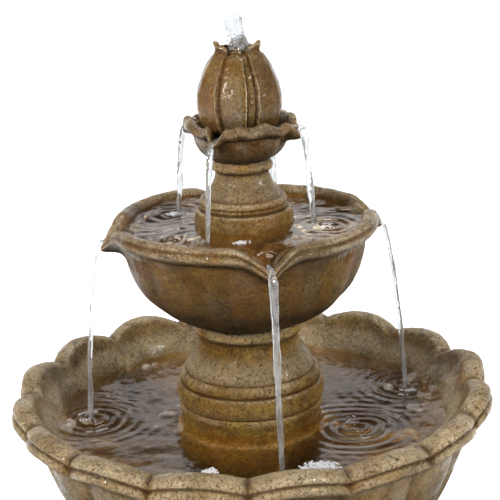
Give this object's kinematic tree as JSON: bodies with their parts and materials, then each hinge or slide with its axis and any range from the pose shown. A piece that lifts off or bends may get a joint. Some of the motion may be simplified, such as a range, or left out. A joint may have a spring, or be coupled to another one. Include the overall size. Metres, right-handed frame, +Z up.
{
  "type": "tiered water fountain",
  "caption": "Tiered cast-stone garden fountain: scalloped basin on a pedestal, turned hollow columns, round bowls with pouring lips, petal bud and a submersible pump with its tube.",
  "frame": {"origin": "on the ground, at the centre of the pedestal's foot", "axes": "+Z up along the stack's axis and the water tube, -Y towards the front, where a valley of the basin's scalloped rim points"},
  "size_m": [0.6454, 0.6454, 1.168],
  "materials": {
    "aged_stone": "weathered cast stone, wet in places",
    "clear_vinyl": "clear flexible vinyl",
    "pump_plastic": "moulded, fine texture",
    "dark_rubber": "matte",
    "filter_foam": "open-cell foam",
    "stainless": "brushed",
    "brass_fitting": "turned, slightly tarnished",
    "ceramic_shaft": "ground",
    "ferrite": "sintered, matte",
    "steel_laminations": "stamped sheets, varnished",
    "copper_winding": "enamelled wire",
    "water": "clear moving water"
  },
  "bodies": {
    "root": {"base_pedestal": "aged_stone", "lower_bowl": "aged_stone", "riser_tube": "clear_vinyl", "jet_nozzle": "brass_fitting", "hose_clamp": "stainless", "clamp_screw": "stainless", "cord_stopper": "dark_rubber", "pump_housing": "pump_plastic", "stator_core": "steel_laminations", "stator_coils": "copper_winding", "volute_cover": "pump_plastic", "volute_seal": "dark_rubber", "rotor_shaft": "ceramic_shaft", "shaft_bushes": "dark_rubber", "outlet_adapter": "pump_plastic", "suction_feet": "dark_rubber", "cable_gland": "pump_plastic"},
    "middle_tier": {"lower_column": "aged_stone", "middle_bowl": "aged_stone", "middle_grommet": "dark_rubber"},
    "top_tier": {"upper_column": "aged_stone", "top_bowl": "aged_stone", "top_grommet": "dark_rubber"},
    "bud": {"finial": "aged_stone"},
    "rotor": {"impeller": "pump_plastic", "rotor_magnet": "ferrite"},
    "strainer": {"pump_cover": "pump_plastic", "filter_sponge": "filter_foam"},
    "flow_slider": {"flow_control": "pump_plastic"}
  },
  "joints": [
    {"name": "middle_tier_lift", "type": "slide", "parent": "root", "child": "middle_tier", "axis": [0, 0, 1], "range_m": [0, 0.12]},
    {"name": "top_tier_lift", "type": "slide", "parent": "middle_tier", "child": "top_tier", "axis": [0, 0, 1], "range_m": [0, 0.12]},
    {"name": "bud_lift", "type": "slide", "parent": "top_tier", "child": "bud", "axis": [0, 0, 1], "range_m": [0, 0.08]},
    {"name": "impeller_spin", "type": "hinge", "parent": "root", "child": "rotor", "pos_m": [0, 0, 0.505], "axis": [0, 1, 0], "continuous": true},
    {"name": "strainer_pull", "type": "slide", "parent": "root", "child": "strainer", "axis": [0, -1, 0], "range_m": [0, 0.022]},
    {"name": "flow_slide", "type": "slide", "parent": "strainer", "child": "flow_slider", "axis": [1, 0, 0], "range_m": [0, 0.009]}
  ]
}
